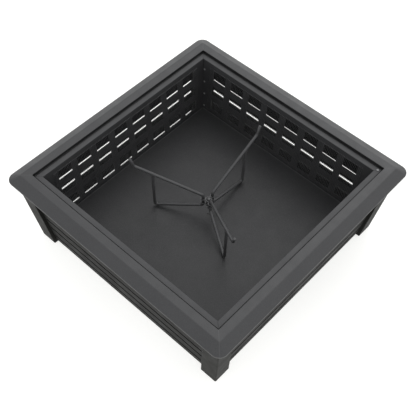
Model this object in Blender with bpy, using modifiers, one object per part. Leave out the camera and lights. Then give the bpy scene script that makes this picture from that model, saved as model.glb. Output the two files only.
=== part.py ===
"""Square steel fire pit with a lift-out log grate of three swinging wings.

The origin is on the ground below the centre of the bowl, +Z is up and the four
sides face -Y (front), +X (right), +Y (back) and -X (left).
"""
import math

import bmesh
import bpy
from mathutils import Matrix, Vector

GAP = 0.0003
MERGE_DISTANCE = 0.00001

# Rim: a pressed frame with a rolled lip, a sloped border, a flat top and a sunk shelf
RIM_HALF = 0.381
RIM_SHEET = 0.0016
RIM_TOP_Z = 0.2677
LIP_TOP_Z = 0.2529
LIP_DROP = 0.0044
LIP_CORNER_RADIUS = 0.025
RIM_TOP_OUTER_HALF = 0.352
RIM_TOP_INNER_HALF = 0.329
RIM_TOP_CORNER_RADIUS = 0.004
RIM_FOLD_RADIUS = 0.0015
SHELF_TOP_Z = 0.2572
SHELF_INNER_HALF = 0.314
CORNER_STEPS = 4

# Outer sides: legs and panels lean outwards by this much for each unit of height
SIDE_LEAN = 0.114

# Corner legs: angle posts with turned-in edges, widths measured at the ground
LEG_OUTER_HALF = 0.336
LEG_FACE_WIDTH = 0.0517
LEG_RETURN = 0.014
LEG_SHEET = 0.002
LEG_TOP_Z = 0.2570
LEG_BEND_RADIUS = 0.004
LEG_BEND_STEPS = 4

# Outer side panels with long vent slots, widths measured at the ground
PANEL_OUTER_HALF = 0.327
PANEL_SHEET = 0.0015
PANEL_BOTTOM_Z = 0.0125
PANEL_TOP_Z = 0.2630
PANEL_SIDE_GAP = 0.0025
PANEL_FLANGE = 0.010
PANEL_HEM = 0.006
SLOT_COUNT = 4
FIRST_SLOT_Z = 0.0398
SLOT_PITCH = 0.0388
SLOT_HEIGHT = 0.0075
SLOT_END_MARGIN = 0.0035
SLOT_LIP_DEPTH = 0.0045
SLOT_LIP_THICKNESS = 0.0012
SLOT_LIP_ROOT = 0.0004

# Fire bowl: four sloping walls with windows, a floor plate and screens
LEDGE_Z = 0.2593
LEDGE_OUTER_HALF = 0.3245
LEDGE_INNER_HALF = 0.3099
BOWL_SHEET = 0.0015
WALL_SLOPE = 0.085
FLOOR_TOP_Z = 0.0747
FLOOR_SHEET = 0.0022
WALL_FOOT_Z = FLOOR_TOP_Z - FLOOR_SHEET - GAP
WALL_FOOT_WIDTH = 0.014
DRAIN_RADIUS = 0.0035
WINDOW_COLUMNS = 8
WINDOW_PITCH = 0.069
WINDOW_WIDTH = 0.0465
WINDOW_HEIGHT = 0.033
WINDOW_ROWS_Z = (0.1075, 0.1645, 0.2215)
SCREEN_HALF_LENGTH = 0.281
SCREEN_BOTTOM_Z = 0.0815
SCREEN_TOP_Z = 0.2438
SCREEN_SHEET = 0.0008
RIVET_RADIUS = 0.003
RIVET_HEIGHT = 0.0016
RIVET_EDGE = 0.0007
RIVET_FROM_CORNER = 0.006
RIVET_ROWS_Z = (0.087, 0.1325, 0.178, 0.2235)
SCREW_RADIUS = 0.0038
SCREW_HEIGHT = 0.0022
SCREW_EDGE = 0.0008
SCREW_HALF = 0.3178
CUT_MARGIN = 0.002

# Log grate: bent rod wings around a central hub, heights measured from the bowl floor
ROD_RADIUS = 0.0042
HINGE_RADIUS = 0.016
GRATE_BASE_Z = FLOOR_TOP_Z + GAP
TIP = (0.219, 0.187)
TOP_BEND = (0.209, 0.160)
HUB_TOP_BEND = (HINGE_RADIUS, 0.084)
HUB_LOW_BEND = (HINGE_RADIUS, 0.041)
FOOT_BEND = (0.155, ROD_RADIUS)
LEG_HEAD_RADIUS = 0.1575
ROD_BEND_RADIUS = 0.009
ROD_BEND_STEPS = 5
WELD_RADIUS = 0.0058
LEG_HEAD_CLEARANCE = 1.11
WING_AZIMUTHS = {"wing_left": 211.0, "wing_back": 93.0, "wing_right": -31.0}
PLATE_THICKNESS = 0.003
PLATE_LOBE_RADIUS = 0.0075
PLATE_CENTRE_RADIUS = 0.010
PLATE_HOLE_CLEARANCE = 0.0004
TOP_PLATE_Z = 0.068
LOW_PLATE_Z = 0.052
PIN_RADIUS = 0.004
PIN_HEAD_RADIUS = 0.0065
PIN_HEAD_HEIGHT = 0.0048
PIN_HEAD_RIM = 0.0012
PIN_TAIL = 0.002
SPACER_RADIUS = 0.0068
NUT_RADIUS = 0.0075
NUT_HEIGHT = 0.006

SIDE_TURNS = {"front": 0, "right": 1, "back": 2, "left": 3}


def clear_scene():
    for item in list(bpy.data.objects):
        bpy.data.objects.remove(item, do_unlink=True)


def make_collection(name):
    collection = bpy.data.collections.new(name)
    bpy.context.scene.collection.children.link(collection)
    return collection


def make_material(name, colour, roughness, metallic):
    material = bpy.data.materials.new(name)
    material.use_nodes = True
    shader = material.node_tree.nodes["Principled BSDF"]
    shader.inputs["Base Color"].default_value = (*colour, 1.0)
    shader.inputs["Roughness"].default_value = roughness
    shader.inputs["Metallic"].default_value = metallic
    return material


def link_part(name, data, material):
    part = bpy.data.objects.new(name, data)
    if material is not None:
        data.materials.clear()
        data.materials.append(material)
    PARTS.objects.link(part)
    return part


def link_cutter(name, data):
    cutter = bpy.data.objects.new(name, data)
    cutter.hide_render = True
    cutter.display_type = "WIRE"
    CUTTERS.objects.link(cutter)
    return cutter


def mesh_from_bmesh(name, bm):
    bmesh.ops.recalc_face_normals(bm, faces=bm.faces)
    mesh = bpy.data.meshes.new(name)
    bm.to_mesh(mesh)
    bm.free()
    return mesh


def add_boolean(part, cutter, operation="DIFFERENCE"):
    modifier = part.modifiers.new("Cut" if operation == "DIFFERENCE" else "Join", "BOOLEAN")
    modifier.operation = operation
    modifier.solver = "EXACT"
    modifier.object = cutter


def add_solidify(part, thickness, offset):
    modifier = part.modifiers.new("Sheet", "SOLIDIFY")
    modifier.thickness = thickness
    modifier.offset = offset
    modifier.use_even_offset = True
    modifier.use_quality_normals = True


def add_edge_bevel(part, width, segments=2):
    modifier = part.modifiers.new("Edges", "BEVEL")
    modifier.width = width
    modifier.segments = segments
    modifier.limit_method = "ANGLE"
    modifier.angle_limit = math.radians(40)


def box_mesh(name, boxes):
    """One mesh of separate boxes, each given as a centre and full sizes."""
    bm = bmesh.new()
    for centre, size in boxes:
        matrix = Matrix.Translation(centre) @ Matrix.Diagonal((*size, 1.0))
        bmesh.ops.create_cube(bm, size=1.0, matrix=matrix)
    return mesh_from_bmesh(name, bm)


def cylinder_mesh(name, cylinders, segments=24):
    """One mesh of separate upright cylinders, each a base centre, radius and height."""
    bm = bmesh.new()
    for base, radius, height in cylinders:
        matrix = Matrix.Translation(Vector(base) + Vector((0.0, 0.0, height / 2)))
        bmesh.ops.create_cone(bm, cap_ends=True, segments=segments, radius1=radius,
                              radius2=radius, depth=height, matrix=matrix)
    return mesh_from_bmesh(name, bm)


def extruded_surface(name, path, ends):
    """An open sheet: a chain of (y, z) points pulled along X between the ends for each point."""
    bm = bmesh.new()
    chain = [bm.verts.new((-end, y, z)) for (y, z), end in zip(path, ends)]
    edges = [bm.edges.new(pair) for pair in zip(chain, chain[1:])]
    result = bmesh.ops.extrude_edge_only(bm, edges=edges)
    pulled = [item for item in result["geom"] if isinstance(item, bmesh.types.BMVert)]
    for vertex in pulled:
        vertex.co.x = -vertex.co.x
    return mesh_from_bmesh(name, bm)


def side_matrix(turns):
    return Matrix.Rotation(math.radians(90) * turns, 4, "Z")


def bowl_wall_half(z):
    """Half-width of the bowl between the inner faces of its walls at height z."""
    return LEDGE_INNER_HALF - WALL_SLOPE * (LEDGE_Z - z)


def rounded_square(half, radius, z):
    """Points around a square with round corners, the same number for every radius."""
    points = []
    for corner in range(4):
        start = math.radians(90) * corner
        centre = Matrix.Rotation(start, 3, "Z") @ Vector((half - radius, half - radius, z))
        for step in range(CORNER_STEPS + 1):
            angle = start + math.radians(90) * step / CORNER_STEPS
            points.append(centre + Vector((math.cos(angle), math.sin(angle), 0.0)) * radius)
    return points


def ring_loft(name, rings):
    """A closed frame skinned through a closed series of rings with equal point counts."""
    bm = bmesh.new()
    loops = [[bm.verts.new(point) for point in ring] for ring in rings]
    for loop, following in zip(loops, loops[1:] + loops[:1]):
        for index in range(len(loop)):
            after = (index + 1) % len(loop)
            bm.faces.new((loop[index], loop[after], following[after], following[index]))
    return mesh_from_bmesh(name, bm)


def make_rim(material):
    slope_drop = RIM_TOP_Z - LIP_TOP_Z
    slope_run = RIM_HALF - RIM_TOP_OUTER_HALF
    under_top = RIM_TOP_Z - RIM_SHEET
    under_slope_z = under_top - slope_drop * (slope_run - RIM_SHEET) / slope_run
    wall_outer = RIM_TOP_INNER_HALF + RIM_SHEET
    shelf_under = SHELF_TOP_Z - RIM_SHEET
    fold = RIM_FOLD_RADIUS
    section = [
        (RIM_HALF, LIP_TOP_Z - LIP_DROP, LIP_CORNER_RADIUS),
        (RIM_HALF, LIP_TOP_Z, LIP_CORNER_RADIUS),
        (RIM_TOP_OUTER_HALF, RIM_TOP_Z, RIM_TOP_CORNER_RADIUS),
        (RIM_TOP_INNER_HALF, RIM_TOP_Z, fold),
        (RIM_TOP_INNER_HALF, SHELF_TOP_Z, fold),
        (SHELF_INNER_HALF, SHELF_TOP_Z, fold),
        (SHELF_INNER_HALF, shelf_under, fold),
        (wall_outer, shelf_under, fold + RIM_SHEET),
        (wall_outer, under_top, fold + RIM_SHEET),
        (RIM_TOP_OUTER_HALF - RIM_SHEET / 4, under_top, RIM_TOP_CORNER_RADIUS),
        (RIM_HALF - RIM_SHEET, under_slope_z, LIP_CORNER_RADIUS - RIM_SHEET),
        (RIM_HALF - RIM_SHEET, LIP_TOP_Z - LIP_DROP, LIP_CORNER_RADIUS - RIM_SHEET),
    ]
    rings = [rounded_square(half, radius, z) for half, z, radius in section]
    rim = link_part("rim_frame", ring_loft("rim_frame", rings), material)
    rim.data.shade_smooth()
    rim.data.set_sharp_from_angle(angle=math.radians(25))


def leg_plan_path():
    """Outer plan outline of the front right post: return, face, bend, face, return."""
    outer = LEG_OUTER_HALF
    inner = LEG_OUTER_HALF - LEG_FACE_WIDTH
    centre = outer - LEG_BEND_RADIUS
    points = [Vector((inner, -outer + LEG_RETURN)), Vector((inner, -outer))]
    for step in range(LEG_BEND_STEPS + 1):
        angle = math.radians(90) * (step / LEG_BEND_STEPS - 1)
        points.append(Vector((centre + LEG_BEND_RADIUS * math.cos(angle),
                              -centre + LEG_BEND_RADIUS * math.sin(angle))))
    return points + [Vector((outer, -inner)), Vector((outer - LEG_RETURN, -inner))]


def offset_path(points, distance):
    """The open plan path moved to the left of its direction by a distance."""
    moved = []
    for index, point in enumerate(points):
        before = points[max(index - 1, 0)]
        after = points[min(index + 1, len(points) - 1)]
        ahead = (after - point if after != point else point - before).normalized()
        behind = (point - before if before != point else ahead).normalized()
        normal = Vector((-ahead.y, ahead.x))
        mean = (normal + Vector((-behind.y, behind.x))).normalized()
        moved.append(point + mean * distance / mean.dot(normal))
    return moved


def make_legs(material):
    path = leg_plan_path()
    outline = path + list(reversed(offset_path(path, LEG_SHEET)))
    shift = SIDE_LEAN * LEG_TOP_Z
    bm = bmesh.new()
    foot = [bm.verts.new((point.x, point.y, 0.0)) for point in outline]
    head = [bm.verts.new((point.x + shift, point.y - shift, LEG_TOP_Z)) for point in outline]
    bm.faces.new(foot)
    bm.faces.new(head)
    for index in range(len(outline)):
        after = (index + 1) % len(outline)
        bm.faces.new((foot[index], foot[after], head[after], head[index]))
    mesh = mesh_from_bmesh("corner_leg", bm)
    for index, name in enumerate(("leg_front_right", "leg_back_right",
                                  "leg_back_left", "leg_front_left")):
        leg = link_part(name, mesh if index == 0 else mesh.copy(), material)
        leg.matrix_world = side_matrix(index)


def panel_face_y(z):
    """Place of the front panel's outer face at height z."""
    return -PANEL_OUTER_HALF - SIDE_LEAN * z


def panel_half_length(z):
    return LEG_OUTER_HALF - LEG_FACE_WIDTH - PANEL_SIDE_GAP + SIDE_LEAN * z


def make_side_panels(material):
    top_y = panel_face_y(PANEL_TOP_Z)
    bottom_y = panel_face_y(PANEL_BOTTOM_Z)
    path = [(top_y + PANEL_FLANGE, PANEL_TOP_Z), (top_y, PANEL_TOP_Z),
            (bottom_y, PANEL_BOTTOM_Z), (bottom_y + PANEL_HEM, PANEL_BOTTOM_Z)]
    ends = [panel_half_length(z) for y, z in path]
    slots = []
    lips = []
    slot_depth = PANEL_SHEET + 2 * CUT_MARGIN
    for index in range(SLOT_COUNT):
        z = FIRST_SLOT_Z + SLOT_PITCH * index
        length = 2 * (panel_half_length(z) - SLOT_END_MARGIN)
        slots.append(((0.0, panel_face_y(z) + PANEL_SHEET, z), (length, slot_depth, SLOT_HEIGHT)))
        lip_z = z - (SLOT_HEIGHT + SLOT_LIP_THICKNESS) / 2
        lip_y = panel_face_y(lip_z) + PANEL_SHEET + (SLOT_LIP_DEPTH - SLOT_LIP_ROOT) / 2
        lips.append(((0.0, lip_y, lip_z),
                     (length, SLOT_LIP_DEPTH + SLOT_LIP_ROOT, SLOT_LIP_THICKNESS)))
    for side, turns in SIDE_TURNS.items():
        name = "side_panel_" + side
        panel = link_part(name, extruded_surface(name, path, ends), material)
        panel.matrix_world = side_matrix(turns)
        add_solidify(panel, PANEL_SHEET, inward_offset(panel.data))
        slot_cutter = link_cutter(name + "_slots", box_mesh(name + "_slots", slots))
        slot_cutter.matrix_world = side_matrix(turns)
        add_boolean(panel, slot_cutter)
        lip_joiner = link_cutter(name + "_lips", box_mesh(name + "_lips", lips))
        lip_joiner.matrix_world = side_matrix(turns)
        add_boolean(panel, lip_joiner, "UNION")


def inward_offset(mesh):
    """Offset sign that keeps an upright sheet's given face as the side away from the centre."""
    face = max(mesh.polygons, key=lambda item: item.area)
    return -1.0 if face.normal.y < 0 else 1.0


def outward_offset(mesh):
    return -inward_offset(mesh)


def make_bowl_walls(material):
    foot_half = bowl_wall_half(WALL_FOOT_Z)
    path = [(-LEDGE_OUTER_HALF, LEDGE_Z), (-LEDGE_INNER_HALF, LEDGE_Z),
            (-foot_half, WALL_FOOT_Z), (-foot_half + WALL_FOOT_WIDTH, WALL_FOOT_Z)]
    ends = [-y - GAP for y, z in path]
    windows = []
    window_depth = BOWL_SHEET + 2 * (CUT_MARGIN + WALL_SLOPE * WINDOW_HEIGHT)
    for z in WINDOW_ROWS_Z:
        for column in range(WINDOW_COLUMNS):
            x = (column - (WINDOW_COLUMNS - 1) / 2) * WINDOW_PITCH
            windows.append(((x, -bowl_wall_half(z), z), (WINDOW_WIDTH, window_depth, WINDOW_HEIGHT)))
    for side, turns in SIDE_TURNS.items():
        name = "bowl_wall_" + side
        wall = link_part(name, extruded_surface(name, path, ends), material)
        wall.matrix_world = side_matrix(turns)
        add_solidify(wall, BOWL_SHEET, outward_offset(wall.data))
        cutter = link_cutter(name + "_windows", box_mesh(name + "_windows", windows))
        cutter.matrix_world = side_matrix(turns)
        add_boolean(wall, cutter)


def wall_matrix(turns, x, z, clearance):
    """Frame on a wall's inner face: local Z points off the wall into the bowl."""
    lean = Matrix.Rotation(math.radians(-90) + math.atan(WALL_SLOPE), 4, "X")
    place = Matrix.Translation((x, -bowl_wall_half(z) + clearance, z))
    return side_matrix(turns) @ place @ lean


def make_screens(material):
    middle = (SCREEN_TOP_Z + SCREEN_BOTTOM_Z) / 2
    height = (SCREEN_TOP_Z - SCREEN_BOTTOM_Z) * math.hypot(1.0, WALL_SLOPE)
    size = (2 * SCREEN_HALF_LENGTH, height, SCREEN_SHEET)
    for side, turns in SIDE_TURNS.items():
        name = "screen_" + side
        screen = link_part(name, box_mesh(name, [((0.0, 0.0, SCREEN_SHEET / 2), size)]), material)
        screen.matrix_world = wall_matrix(turns, 0.0, middle, GAP)


def make_floor(material):
    half = bowl_wall_half(FLOOR_TOP_Z) - 2 * GAP
    height = FLOOR_SHEET
    centre = (0.0, 0.0, FLOOR_TOP_Z - height / 2)
    floor = link_part("bowl_floor", box_mesh("bowl_floor", [(centre, (2 * half, 2 * half, height))]),
                      material)
    drill_base = (0.0, 0.0, FLOOR_TOP_Z - FLOOR_SHEET - CUT_MARGIN)
    drill = cylinder_mesh("drain_drill", [(drill_base, DRAIN_RADIUS, FLOOR_SHEET + 2 * CUT_MARGIN)])
    add_boolean(floor, link_cutter("drain_drill", drill))


def make_rivets(material):
    for side, turns in SIDE_TURNS.items():
        for row, z in enumerate(RIVET_ROWS_Z):
            name = "seam_rivet_%s_%d" % (side, row + 1)
            mesh = cylinder_mesh(name, [((0.0, 0.0, 0.0), RIVET_RADIUS, RIVET_HEIGHT)], 12)
            rivet = link_part(name, mesh, material)
            x = bowl_wall_half(z) - RIVET_FROM_CORNER
            rivet.matrix_world = wall_matrix(turns, x, z, GAP)
            add_edge_bevel(rivet, RIVET_EDGE, 1)


def make_ledge_screw(material):
    name = "ledge_screw_back_right"
    screw = link_part(name, cylinder_mesh(name, [((0.0, 0.0, 0.0), SCREW_RADIUS, SCREW_HEIGHT)], 16),
                      material)
    screw.location = (SCREW_HALF, SCREW_HALF, LEDGE_Z + GAP)
    add_edge_bevel(screw, SCREW_EDGE, 1)


def rounded_route(corners, radius):
    """The polyline through the corners with each inner corner replaced by an arc."""
    route = [Vector(corners[0])]
    for before, corner, after in zip(corners, corners[1:], corners[2:]):
        corner = Vector(corner)
        back = (Vector(before) - corner).normalized()
        ahead = (Vector(after) - corner).normalized()
        half_angle = back.angle(ahead) / 2
        reach = radius / math.tan(half_angle)
        centre = corner + (back + ahead).normalized() * radius / math.sin(half_angle)
        start = (corner + back * reach - centre).normalized()
        end = (corner + ahead * reach - centre).normalized()
        for step in range(ROD_BEND_STEPS + 1):
            route.append(centre + start.slerp(end, step / ROD_BEND_STEPS) * radius)
    route.append(Vector(corners[-1]))
    return route


def top_rod_z(radius):
    rise = (TOP_BEND[1] - HUB_TOP_BEND[1]) / (TOP_BEND[0] - HUB_TOP_BEND[0])
    return HUB_TOP_BEND[1] + rise * (radius - HUB_TOP_BEND[0])


def rod_mesh(name, route, radius):
    """A round rod along a route, as a mesh with its end caps welded on."""
    curve = bpy.data.curves.new(name, "CURVE")
    curve.dimensions = "3D"
    curve.bevel_depth = radius
    curve.bevel_resolution = 2
    curve.use_fill_caps = True
    spline = curve.splines.new("POLY")
    spline.points.add(len(route) - 1)
    for point, place in zip(spline.points, route):
        point.co = (*place, 1.0)
    holder = bpy.data.objects.new(name, curve)
    PARTS.objects.link(holder)
    evaluated = holder.evaluated_get(bpy.context.evaluated_depsgraph_get())
    mesh = bpy.data.meshes.new_from_object(evaluated)
    bpy.data.objects.remove(holder)
    bpy.data.curves.remove(curve)
    bm = bmesh.new()
    bm.from_mesh(mesh)
    bmesh.ops.remove_doubles(bm, verts=bm.verts, dist=MERGE_DISTANCE)
    bmesh.ops.recalc_face_normals(bm, faces=bm.faces)
    bm.to_mesh(mesh)
    bm.free()
    mesh.name = name
    return mesh


def wing_points():
    """Corners of a wing's rod in its own plane: X out from the hinge axis, Z up."""
    leg_head_z = top_rod_z(LEG_HEAD_RADIUS) - ROD_RADIUS * LEG_HEAD_CLEARANCE
    corners = (TIP, TOP_BEND, HUB_TOP_BEND, HUB_LOW_BEND, FOOT_BEND,
               (LEG_HEAD_RADIUS, leg_head_z))
    return [(radius - HINGE_RADIUS, 0.0, z) for radius, z in corners]


def make_wings(material, grate_base):
    rod = rod_mesh("wing", rounded_route(wing_points(), ROD_BEND_RADIUS), ROD_RADIUS)
    weld_z = top_rod_z(LEG_HEAD_RADIUS) - ROD_RADIUS
    for name, azimuth in WING_AZIMUTHS.items():
        wing = link_part(name, rod.copy(), material)
        wing.parent = grate_base
        turn = Matrix.Rotation(math.radians(azimuth), 4, "Z")
        hinge = turn @ Matrix.Translation((HINGE_RADIUS, 0.0, 0.0))
        wing.matrix_local = hinge
        wing.data.shade_smooth()
        wing.data.set_sharp_from_angle(angle=math.radians(50))
        bm = bmesh.new()
        bmesh.ops.create_uvsphere(bm, u_segments=12, v_segments=8, radius=WELD_RADIUS)
        bead = link_cutter(name + "_weld", mesh_from_bmesh(name + "_weld", bm))
        bead.parent = grate_base
        bead.matrix_local = hinge @ Matrix.Translation(
            (LEG_HEAD_RADIUS - HINGE_RADIUS, 0.0, weld_z))
        add_boolean(wing, bead, "UNION")


def hinge_places():
    places = []
    for azimuth in WING_AZIMUTHS.values():
        angle = math.radians(azimuth)
        places.append((HINGE_RADIUS * math.cos(angle), HINGE_RADIUS * math.sin(angle)))
    return places


def make_hub_plate(name, z, material, grate_base):
    plate = link_part(name, cylinder_mesh(name, [((0.0, 0.0, 0.0), PLATE_CENTRE_RADIUS,
                                                  PLATE_THICKNESS)], 32), material)
    lobes = [((x, y, 0.0), PLATE_LOBE_RADIUS, PLATE_THICKNESS) for x, y in hinge_places()]
    depth = PLATE_THICKNESS + 2 * CUT_MARGIN
    holes = [((x, y, -CUT_MARGIN), ROD_RADIUS + PLATE_HOLE_CLEARANCE, depth)
             for x, y in hinge_places()]
    holes.append(((0.0, 0.0, -CUT_MARGIN), PIN_RADIUS + GAP, depth))
    for label, cylinders, operation in (("lobes", lobes, "UNION"), ("holes", holes, "DIFFERENCE")):
        tool_name = "%s_%s" % (name, label)
        tool = link_cutter(tool_name, cylinder_mesh(tool_name, cylinders))
        tool.parent = grate_base
        tool.location = (0.0, 0.0, z)
        add_boolean(plate, tool, operation)
    plate.parent = grate_base
    plate.location = (0.0, 0.0, z)


def turned_mesh(name, profile, material, parent, segments=24):
    """A solid of revolution about Z from (radius, z) points, top to bottom."""
    mesh = bpy.data.meshes.new(name)
    verts = [(radius, 0.0, z) for radius, z in profile]
    edges = [(index, index + 1) for index in range(len(verts) - 1)]
    mesh.from_pydata(verts, edges, [])
    part = link_part(name, mesh, material)
    part.parent = parent
    screw = part.modifiers.new("Turn", "SCREW")
    screw.axis = "Z"
    screw.steps = segments
    screw.render_steps = segments
    screw.use_merge_vertices = True
    screw.merge_threshold = MERGE_DISTANCE
    return part


def make_hub(material, bright, grate_base):
    make_hub_plate("hub_top_plate", TOP_PLATE_Z, material, grate_base)
    make_hub_plate("hub_low_plate", LOW_PLATE_Z, material, grate_base)

    head_low = TOP_PLATE_Z + PLATE_THICKNESS + GAP
    pin_end = LOW_PLATE_Z - GAP - NUT_HEIGHT - PIN_TAIL
    head_top = head_low + PIN_HEAD_HEIGHT
    dome_low = head_low + PIN_HEAD_RIM
    dome = []
    for step in range(5):
        angle = math.radians(90 - 18 * step)
        dome.append((PIN_HEAD_RADIUS * math.cos(angle),
                     dome_low + (head_top - dome_low) * math.sin(angle)))
    profile = [(0.0, head_top)] + dome[1:] + [(PIN_HEAD_RADIUS, head_low), (PIN_RADIUS, head_low),
                                               (PIN_RADIUS, pin_end), (0.0, pin_end)]
    pin = turned_mesh("hub_pin", profile, bright, grate_base)
    pin.data.shade_smooth()

    spacer_low = LOW_PLATE_Z + PLATE_THICKNESS + GAP
    spacer_high = TOP_PLATE_Z - GAP
    bore = PIN_RADIUS + GAP
    spacer = link_part("hub_spacer", cylinder_mesh("hub_spacer", [
        ((0.0, 0.0, spacer_low), SPACER_RADIUS, spacer_high - spacer_low)]), material)
    spacer.parent = grate_base
    spacer_drill = link_cutter("hub_spacer_drill", cylinder_mesh("hub_spacer_drill", [
        ((0.0, 0.0, spacer_low - CUT_MARGIN), bore, spacer_high - spacer_low + 2 * CUT_MARGIN)]))
    spacer_drill.parent = grate_base
    add_boolean(spacer, spacer_drill)

    nut_low = LOW_PLATE_Z - GAP - NUT_HEIGHT
    nut = link_part("hub_nut", cylinder_mesh("hub_nut", [((0.0, 0.0, nut_low), NUT_RADIUS,
                                                          NUT_HEIGHT)], 6), bright)
    nut.parent = grate_base
    nut_drill = link_cutter("hub_nut_drill", cylinder_mesh("hub_nut_drill", [
        ((0.0, 0.0, nut_low - CUT_MARGIN), bore, NUT_HEIGHT + 2 * CUT_MARGIN)]))
    nut_drill.parent = grate_base
    add_boolean(nut, nut_drill)


def make_fire_pit():
    coat = make_material("charcoal_powder_coat", (0.072, 0.072, 0.074), 0.5, 0.0)
    bowl_coat = make_material("matt_bowl_coat", (0.03, 0.03, 0.031), 0.6, 0.0)
    floor_coat = make_material("bowl_floor_coat", (0.055, 0.055, 0.056), 0.55, 0.0)
    wire = make_material("blackened_wire", (0.02, 0.02, 0.02), 0.55, 0.5)
    fixing = make_material("fixing_steel", (0.12, 0.12, 0.12), 0.45, 0.6)
    rod = make_material("grate_rod_coat", (0.07, 0.07, 0.07), 0.4, 0.2)
    bright = make_material("plated_steel", (0.35, 0.35, 0.35), 0.35, 0.9)

    make_rim(coat)
    make_legs(coat)
    make_side_panels(coat)
    make_bowl_walls(bowl_coat)
    make_screens(wire)
    make_floor(floor_coat)
    make_rivets(fixing)
    make_ledge_screw(fixing)

    grate_base = bpy.data.objects.new("grate_base", None)
    PARTS.objects.link(grate_base)
    grate_base.location = (0.0, 0.0, GRATE_BASE_Z)
    bpy.context.view_layer.update()
    make_wings(rod, grate_base)
    make_hub(rod, bright, grate_base)


clear_scene()
PARTS = make_collection("fire_pit")
CUTTERS = make_collection("cutters")
make_fire_pit()
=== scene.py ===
import math

import bmesh
import bpy
from mathutils import Matrix, Vector, noise


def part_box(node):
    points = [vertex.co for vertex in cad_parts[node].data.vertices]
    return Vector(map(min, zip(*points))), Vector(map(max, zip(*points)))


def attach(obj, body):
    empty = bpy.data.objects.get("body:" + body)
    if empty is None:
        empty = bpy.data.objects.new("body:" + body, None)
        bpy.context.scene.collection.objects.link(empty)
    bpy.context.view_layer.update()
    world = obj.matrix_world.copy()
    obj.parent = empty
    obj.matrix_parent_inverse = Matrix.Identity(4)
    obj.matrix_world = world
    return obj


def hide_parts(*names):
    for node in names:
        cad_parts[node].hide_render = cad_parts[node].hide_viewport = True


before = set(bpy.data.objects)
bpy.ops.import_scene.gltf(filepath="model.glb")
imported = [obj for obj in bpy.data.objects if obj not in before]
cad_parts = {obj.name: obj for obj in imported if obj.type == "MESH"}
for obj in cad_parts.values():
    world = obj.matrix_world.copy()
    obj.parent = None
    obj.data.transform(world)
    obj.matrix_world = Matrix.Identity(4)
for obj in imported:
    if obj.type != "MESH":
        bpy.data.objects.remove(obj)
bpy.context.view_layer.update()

# Looks of the square fire pit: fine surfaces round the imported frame, materials, studio and camera.
# Metres, +Z up, origin on the ground below the bowl's centre. Sides face -Y, +X, +Y and -X.

SIDES = ("front", "right", "back", "left")
LEG_NAMES = ("leg_front_right", "leg_back_right", "leg_back_left", "leg_front_left")
GAP = 0.0003

RIM_LOW, RIM_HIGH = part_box("rim_frame")
LEG_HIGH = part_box("leg_front_right")[1]
PANEL_LOW, PANEL_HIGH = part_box("side_panel_front")
WALL_LOW, WALL_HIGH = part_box("bowl_wall_front")
SCREEN_LOW, SCREEN_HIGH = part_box("screen_front")
FLOOR_LOW, FLOOR_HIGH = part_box("bowl_floor")

# Rim section
RIM_HALF = RIM_HIGH.x
RIM_TOP_Z = RIM_HIGH.z
RIM_SHEET = 0.0016
LIP_LOW_Z = RIM_LOW.z
LIP_TOP_Z = LIP_LOW_Z + 0.0044
LIP_CORNER_RADIUS = 0.025
RIM_TOP_OUTER_HALF = 0.352
RIM_TOP_INNER_HALF = 0.329
RIM_TOP_CORNER_RADIUS = 0.004
RIM_FOLD_RADIUS = 0.0015
SHELF_TOP_Z = 0.2572
SHELF_INNER_HALF = 0.314
RIM_CORNER_STEPS = 14

# Softened edges of sheet and solid parts
EDGE_SEGMENTS = 2
SHARP_ANGLE = math.radians(35)
LEG_EDGE = 0.0004
PANEL_EDGE = 0.0003
LIP_EDGE = 0.0002
WALL_EDGE = 0.00025
FLOOR_EDGE = 0.0007
HUB_EDGE = 0.0004
NUT_EDGE = 0.0005

# Legs and panels lean outwards by this much for each unit of height
SIDE_LEAN = 0.114

# Legs, with widths measured at the ground
LEG_TOP_Z = LEG_HIGH.z
LEG_OUTER = LEG_HIGH.x - SIDE_LEAN * LEG_TOP_Z
LEG_FACE_WIDTH = 0.0517
LEG_RETURN = 0.014
LEG_SHEET = 0.002
LEG_BEND_REACH = 0.0042
LEG_FOLD_REACH = 0.0016

# Side panels with vent slots, widths measured at the ground
PANEL_TOP_Z = PANEL_HIGH.z
PANEL_BOTTOM_Z = PANEL_LOW.z
PANEL_OUTER_HALF = -PANEL_LOW.y - SIDE_LEAN * PANEL_TOP_Z
PANEL_GROUND_HALF = PANEL_HIGH.x - SIDE_LEAN * PANEL_TOP_Z
PANEL_SHEET = 0.0015
PANEL_FLANGE = 0.010
PANEL_HEM = 0.006
SLOT_COUNT = 4
FIRST_SLOT_Z = 0.0398
SLOT_PITCH = 0.0388
SLOT_HEIGHT = 0.0075
SLOT_END_MARGIN = 0.0035
SLOT_LIP_DEPTH = 0.0042
SLOT_LIP_SHEET = 0.0011
SLOT_CORNER = 0.003
LIP_TURN = 0.0016

# Bowl walls, windows, floor and woven screens
LEDGE_Z = WALL_HIGH.z
LEDGE_OUTER_HALF = -WALL_LOW.y
LEDGE_INNER_HALF = 0.3099
BOWL_SHEET = 0.0015
WALL_SLOPE = 0.085
WALL_FOOT_Z = WALL_LOW.z + BOWL_SHEET
WALL_FOOT_WIDTH = 0.014
WINDOW_COLUMNS = 8
WINDOW_PITCH = 0.069
WINDOW_SIZE = (0.0465, 0.033)
WINDOW_CORNER = 0.0015
WINDOW_ROWS_Z = (0.1075, 0.1645, 0.2215)
DRAIN_RADIUS = 0.0035
SCREEN_HALF_LENGTH = SCREEN_HIGH.x
WIRE_PITCH = 0.005
WIRE_RADIUS = 0.00029
WIRE_SECTION_REACH = WIRE_RADIUS * 1.25
CUT_MARGIN = 0.002

# Fixings: head radius, height and height of the upright rim below the dome
RIVET_HEAD = (0.003, 0.0016, 0.0003)
RIVET_ROWS = 4
SCREW_HEAD = (0.0038, 0.0022, 0.0008)
DOME_STEPS = 7

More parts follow.
